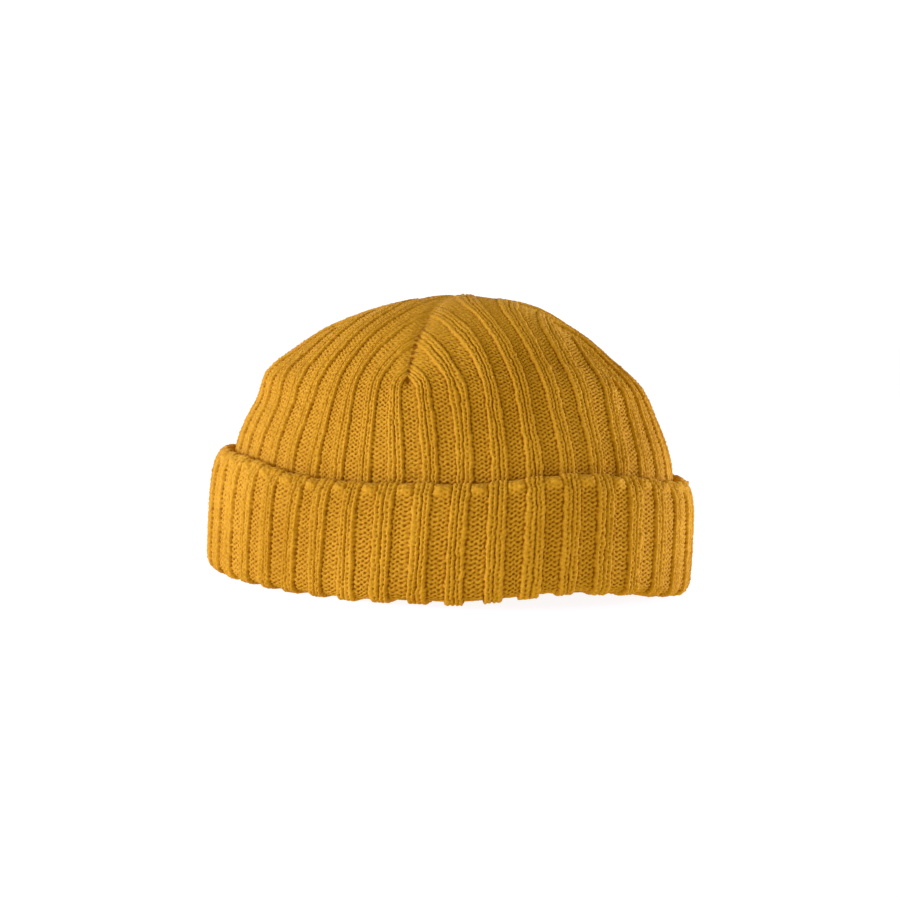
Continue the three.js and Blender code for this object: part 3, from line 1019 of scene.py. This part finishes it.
# The lining side of the crown, down to the hem and up again behind the cuff
def crownBack():
    rows = crownRows(knit["course"] * crown["hiddenCourses"])
    column = np.arange(0, around, coarse)
    share = (column / ribColumns + crown["firstDart"] + crown["phase"]) / knit["ribs"]
    share = np.broadcast_to(share, (len(rows), len(column)))
    grid, outward = crownPoints(rows, share)
    ribs = 0.5 + 0.5 * np.cos(column / ribColumns * 2 * math.pi)
    depth = knit["thickness"] - crown["hiddenRelief"] * (1 - ribs)
    inside = grid - outward * depth[None, :, None]
    behindCuff = grid[0] - outward[0] * crown["footInset"]
    foot = cuff["hem"] + crown["footGap"]
    down = []
    sides = [(inside[0], height) for height in crown["hiddenDown"]]
    sides += [(behindCuff, height) for height in crown["hiddenUp"]]
    for side, height in sides:
        ring = side.copy()
        ring[:, 2] = foot + (ring[:, 2] - foot) * height
        down.append(ring)
    path = np.concatenate([inside[::-1], np.array(down)])
    tip = crownTip(knit["thickness"] + crown["hiddenTip"])
    count = len(path)
    index = np.arange(count * len(column)).reshape(count, len(column))
    index = np.concatenate([index, index[:, :1]], 1)
    waleAt = np.arange(len(column) + 1) * coarse / knit["columnsPerWale"]
    left = np.tile(waleAt[:-1], (count, 1))
    right = np.tile(waleAt[1:], (count, 1))
    wallAt = np.concatenate([np.linspace(1, 0, len(inside)), np.full(len(down), -1.0)])
    points = np.vstack([path.reshape(-1, 3), tip])
    return {"points": points, "index": index, "left": left, "right": right,
            "rowAt": np.arange(count) * crown["hiddenCourses"], "paintedShade": crown["hiddenPaintedShade"],
            "tip": count * len(column), "joins": [(0, -1, False)], "wallAt": wallAt}


# A colour between two others, each a plain colour or a socket
def mixColours(tree, amount, low, high):
    node = tree.nodes.new("ShaderNodeMix")
    node.data_type = "RGBA"
    tree.links.new(amount.socket, node.inputs["Factor"])
    colours = [socket for socket in node.inputs if socket.type == "RGBA"]
    for socket, value in zip(colours, (low, high)):
        if isinstance(value, tuple):
            socket.default_value = value
        else:
            tree.links.new(value, socket)
    return [socket for socket in node.outputs if socket.type == "RGBA"][0]


# Yarn: mustard, with painted shade, darker and warmer, down between the stitches, and paler where it
# fuzzes
yarn = {
    "light": (0.66, 0.308, 0.011, 1),
    "dark": (0.49, 0.21, 0.003, 1),
    # the colour painted where shade falls deep between the stitches
    "paintedDeepShade": (0.28, 0.094, 0.0004, 1),
    "roughness": 0.85,
    "sheen": 0.03,
    "sheenRoughness": 0.5,
    "sheenTint": (1.0, 0.8, 0.42, 1),
    "specular": 0.06,
    "patchScale": 22,
    "fleckScale": 900,
    "fibreScale": 2200,
    "patchTone": 0.35,
    "fleckTone": 0.35,
    "fibreTone": 0.3,
    "fibreBump": 0.45 * mm,
    "bumpStrength": 0.7,
    "toneFade": (0.38, 0.62),
    "paintedShadeFade": (0.15, 1.0),
    "paintedShadeFlecks": 0.4,
}


def yarnMaterial(name, settings):
    material = bpy.data.materials.new(name)
    material.use_nodes = True
    tree = material.node_tree
    shader = tree.nodes["Principled BSDF"]
    shader.inputs["Roughness"].default_value = settings["roughness"]
    shader.inputs["Specular IOR Level"].default_value = settings["specular"]
    shader.inputs["Sheen Weight"].default_value = settings["sheen"]
    shader.inputs["Sheen Roughness"].default_value = settings["sheenRoughness"]
    shader.inputs["Sheen Tint"].default_value = settings["sheenTint"]
    coordinates = tree.nodes.new("ShaderNodeTexCoord")
    # the painted shade that the relief tree stored
    stored = tree.nodes.new("ShaderNodeAttribute")
    stored.attribute_name = "paintedShade"
    paintedShade = Sum(tree, stored.outputs["Fac"])

    def noiseAt(scale, detail):
        node = tree.nodes.new("ShaderNodeTexNoise")
        node.inputs["Scale"].default_value = scale
        node.inputs["Detail"].default_value = detail
        tree.links.new(coordinates.outputs["Object"], node.inputs["Vector"])
        return Sum(tree, node.outputs[0])

    patches = noiseAt(settings["patchScale"], 3)
    flecks = noiseAt(settings["fleckScale"], 2)
    fibres = noiseAt(settings["fibreScale"], 3)
    tone = patches * settings["patchTone"] + flecks * settings["fleckTone"]
    tone = tone + fibres * settings["fibreTone"]
    lit = mixColours(tree, tone.ramp(*settings["toneFade"]), settings["dark"], settings["light"])
    # Painted shade: the yarn goes to the deep colour down between the stitches, broken by flecks
    depth = paintedShade + (flecks - 0.5) * settings["paintedShadeFlecks"]
    depth = depth.ramp(*settings["paintedShadeFade"])
    tree.links.new(mixColours(tree, depth, lit, settings["paintedDeepShade"]), shader.inputs["Base Color"])
    bump = tree.nodes.new("ShaderNodeBump")
    bump.inputs["Strength"].default_value = settings["bumpStrength"]
    bump.inputs["Distance"].default_value = settings["fibreBump"]
    tree.links.new((flecks * 0.5 + fibres * 0.5).socket, bump.inputs["Height"])
    tree.links.new(bump.outputs["Normal"], shader.inputs["Normal"])
    return material


def plainValues(mesh, name):
    values = np.zeros(len(mesh.vertices), np.float32)
    mesh.attributes[name].data.foreach_get("value", values)
    return values


# Raises the stitches of a piece and cuts it in sectors
def dressPiece(name, node, sectors, cloth, hidden, tree, material):
    smooth = makeMesh(name, cloth["points"], cloth["faces"], cloth["attributes"])
    settings = dict(relief, ribRelief=knit["ribRelief"])
    raised = raiseStitches(tree, smooth, material, settings)
    points = np.zeros(len(raised.vertices) * 3, np.float32)
    raised.vertices.foreach_get("co", points)
    points = points.reshape(-1, 3).astype(float)
    points[:, 2] = np.maximum(points[:, 2], 0)  # the cloth lies flat where it rests
    cloth["points"] = points
    # the painted shade that the relief tree stored
    cloth["values"] = {"paintedShade": plainValues(raised, "paintedShade")}
    cutSectors(name, node, sectors, cloth, hidden, material)
    bpy.data.meshes.remove(raised)


knitRelief = reliefTree()
print("relief tree built")
cuffYarn = yarnMaterial("cuffYarn", yarn)
dressPiece("cuff_knit", "cuff", cuff["sectors"], cuffCloth(), cuffBack(),
           knitRelief, cuffYarn)
crownYarn = yarnMaterial("crownYarn", yarn)
dressPiece("crown_knit", "crown", crown["sectors"], crownCloth(), crownBack(),
           knitRelief, crownYarn)


# Camera: where it stands round the cap and how the cap sits in its frame
view = {
    "azimuth": 31.05,
    "elevation": 4.9,
    "roll": 1.615,
    "distance": 800 * mm,
    "aimHeight": 50 * mm,
    "pixelsPerRadian": 1860.5,
    "frameSize": 900.0,
    "centreX": 449.0,
    "centreY": 459.5,
}


def awayTowards(azimuth, elevation):
    a, e = math.radians(azimuth), math.radians(elevation)
    return Vector((math.sin(a) * math.cos(e), -math.cos(a) * math.cos(e), math.sin(e)))


def addCamera():
    data = bpy.data.cameras.new("camera")
    camera = bpy.data.objects.new("camera", data)
    bpy.context.collection.objects.link(camera)
    aim = Vector((0, 0, view["aimHeight"]))
    away = awayTowards(view["azimuth"], view["elevation"])
    camera.location = aim + away * view["distance"]
    turn = (-away).to_track_quat("-Z", "Y").to_matrix().to_4x4()
    roll = Matrix.Rotation(math.radians(view["roll"]), 4, "Z")
    camera.matrix_world = Matrix.Translation(camera.location) @ turn @ roll
    data.sensor_width = 36
    data.lens = view["pixelsPerRadian"] / view["frameSize"] * 36
    data.shift_x = (view["frameSize"] / 2 - view["centreX"]) / view["frameSize"]
    data.shift_y = (view["centreY"] - view["frameSize"] / 2) / view["frameSize"]
    data.clip_start = 0.01
    bpy.context.scene.camera = camera


def addLamp(name, lamp):
    data = bpy.data.lights.new(name, "AREA")
    data.shape = "DISK"
    data.size = lamp["size"]
    data.energy = lamp["power"]
    data.color = lamp["colour"]
    light = bpy.data.objects.new(name, data)
    bpy.context.collection.objects.link(light)
    away = awayTowards(view["azimuth"] + lamp["besideCamera"], lamp["elevation"])
    light.location = Vector((0, 0, studio["lampAimHeight"])) + away * studio["lampDistance"]
    light.rotation_euler = (-away).to_track_quat("-Z", "Y").to_euler()


# The studio: soft light all round, with cooler and stronger light low on the left and, more
# narrowly, on the far right, and two lamps placed by the angle beside the camera. Each
# region of the sky: where it is, and the cosines it fades over.
studio = {
    "front": (0.64, 0.63, 0.4, 1),
    "above": (0.44, 0.425, 0.07, 1),
    "side": (2.0, 2.4, 7.6, 1),
    "left": {"towards": (-0.997, -0.05, -0.05), "fade": (-0.1, 0.8)},
    "right": {"towards": (0.857, 0.515, 0.0), "fade": (0.45, 0.95)},
    "overhead": {"towards": (0.0, 0.0, 1.0), "fade": (0.05, 0.8)},
    "high": {"towards": (0.0, 0.0, 1.0), "fade": (0.15, 0.6)},
    "backdrop": (1.1, 1.1, 1.1, 1),
    "floorSide": 6.0,
    "floorColour": (0.2, 0.2, 0.2, 1),
    "floorGlow": 0.9,
    "lampDistance": 1.3,
    "lampAimHeight": 0.06,
    "lamps": {
        "keyLeft": {
            "besideCamera": -72,
            "elevation": 8,
            "size": 0.9,
            "power": 16.0,
            "colour": (1, 1.12, 2.9),
        },
        "rimRight": {
            "besideCamera": 100,
            "elevation": 4,
            "size": 0.5,
            "power": 13.0,
            "colour": (1, 1.12, 2.6),
        },
    },
}


def addStudio():
    corners = np.array([(-1, -1, 0), (1, -1, 0), (1, 1, 0), (-1, 1, 0)]) * studio["floorSide"]
    floor = makeMesh("floor", corners, np.array([[0, 1, 2, 3]]), {})
    material = bpy.data.materials.new("paleFloor")
    material.use_nodes = True
    shader = material.node_tree.nodes["Principled BSDF"]
    shader.inputs["Base Color"].default_value = studio["floorColour"]
    shader.inputs["Roughness"].default_value = 1.0
    shader.inputs["Specular IOR Level"].default_value = 0.0
    shader.inputs["Emission Color"].default_value = (1, 1, 1, 1)
    shader.inputs["Emission Strength"].default_value = studio["floorGlow"]
    floor.materials.append(material)
    ground = bpy.data.objects.new("floor", floor)
    bpy.context.collection.objects.link(ground)
    world = bpy.data.worlds.new("studio")
    bpy.context.scene.world = world
    world.use_nodes = True
    tree = world.node_tree
    sky = tree.nodes["Background"]
    direction = tree.nodes.new("ShaderNodeTexCoord")

    def lightFrom(lobe):
        towards = tree.nodes.new("ShaderNodeVectorMath")
        towards.operation = "DOT_PRODUCT"
        towards.inputs[1].default_value = lobe["towards"]
        tree.links.new(direction.outputs["Generated"], towards.inputs[0])
        return Sum(tree, towards.outputs["Value"]).ramp(*lobe["fade"])

    plain = mixColours(tree, lightFrom(studio["overhead"]), studio["front"], studio["above"])
    amount = lightFrom(studio["left"]).highest(lightFrom(studio["right"]))
    amount = amount * (1.0 - lightFrom(studio["high"]))
    lit = mixColours(tree, amount, plain, studio["side"])
    seen = Sum(tree, tree.nodes.new("ShaderNodeLightPath").outputs["Is Camera Ray"])
    tree.links.new(mixColours(tree, seen, lit, studio["backdrop"]), sky.inputs["Color"])
    for name, lamp in studio["lamps"].items():
        addLamp(name, lamp)
    bpy.context.scene.view_settings.view_transform = "Standard"


addCamera()
addStudio()
print("camera and studio set")
